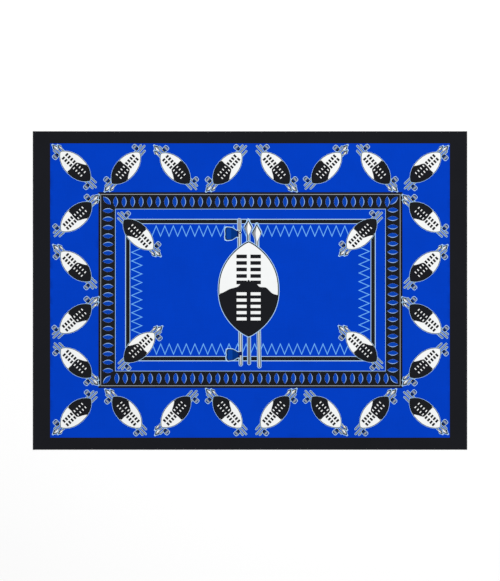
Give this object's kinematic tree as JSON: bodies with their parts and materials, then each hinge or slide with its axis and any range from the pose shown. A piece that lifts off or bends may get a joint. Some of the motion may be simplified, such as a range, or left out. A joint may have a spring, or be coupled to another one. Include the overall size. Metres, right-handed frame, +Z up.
{
  "type": "kanga",
  "caption": "Oblong printed cotton wrap cloth laid flat and face up, with a narrow hem at each end and a selvedge along each side.",
  "frame": {"origin": "middle of the cloth's underside, on the surface that it lies on", "axes": "+X along the cloth from hem to hem, +Y across it towards the upright end of the central shield, +Z up out of the printed face"},
  "size_m": [1.5, 1.1, 0.0025],
  "materials": {
    "printed_cotton": "matte"
  },
  "bodies": {
    "root": {"cloth": "printed_cotton"}
  },
  "joints": []
}
